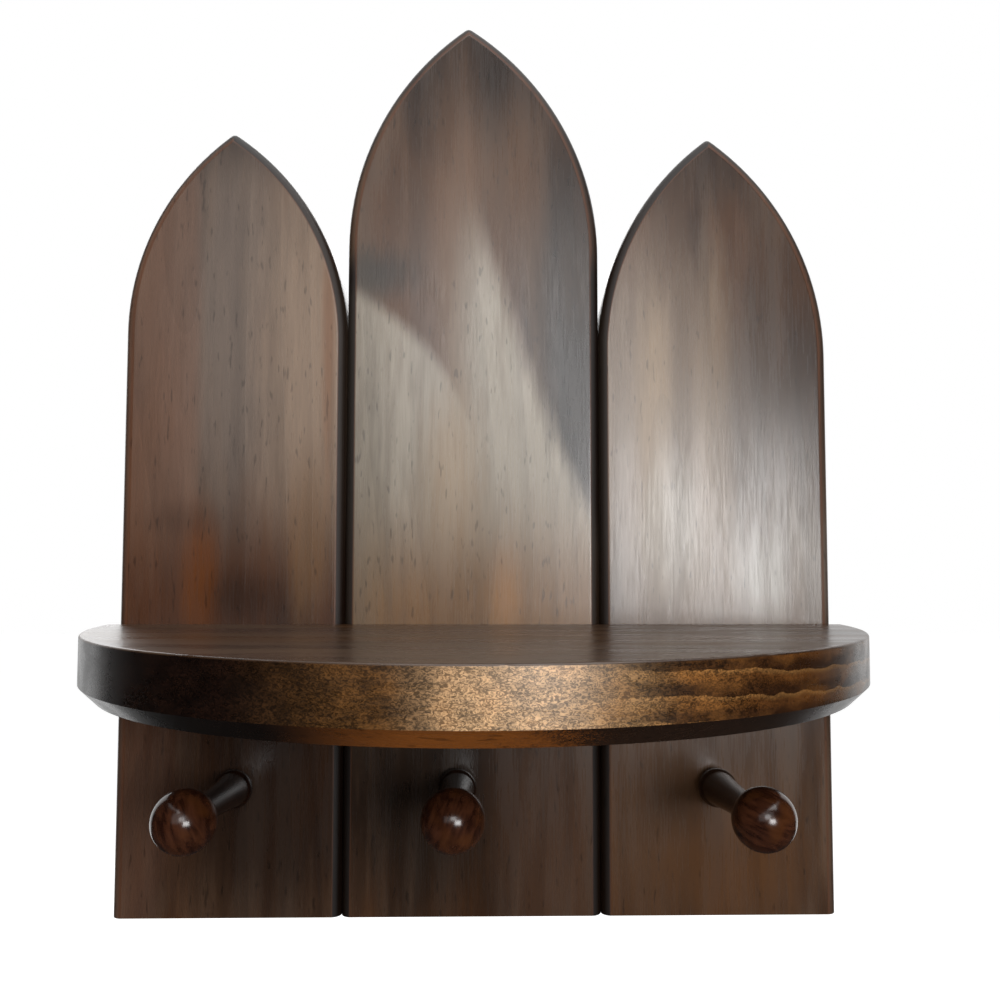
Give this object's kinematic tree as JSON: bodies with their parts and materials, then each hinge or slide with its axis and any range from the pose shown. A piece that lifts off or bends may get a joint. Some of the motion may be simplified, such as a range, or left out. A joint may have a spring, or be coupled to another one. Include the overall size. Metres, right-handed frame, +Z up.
{
  "type": "wall shelf with hooks",
  "caption": "Half-round wall shelf on three upright boards with pointed arch tops and turned pegs below, dark stained and varnished pine, hung by keyhole plates.",
  "frame": {"origin": "on the back of the upper batten, in the wall plane, midway between the two keyhole plates", "axes": "+Z up; +Y into the wall, so the shelf and pegs reach towards -Y; +X to the right as seen from the room"},
  "size_m": [0.254, 0.1555, 0.3134],
  "materials": {
    "boards": "dark walnut stain under satin varnish",
    "shelf": "dark walnut stain under satin varnish",
    "pegs": "dark red-brown stain under gloss varnish",
    "battens": "dark walnut stain, matt",
    "hanger_plates": "zinc plated",
    "screws": "yellow zinc plated"
  },
  "bodies": {
    "root": {"board_left": "boards", "board_center": "boards", "board_right": "boards", "shelf": "shelf", "peg_left": "pegs", "peg_center": "pegs", "peg_right": "pegs", "upper_batten": "battens", "lower_batten": "battens", "batten_screws": "screws", "shelf_screws": "screws", "hanger_left": "hanger_plates", "hanger_right": "hanger_plates", "hanger_screws": "screws"}
  },
  "joints": []
}
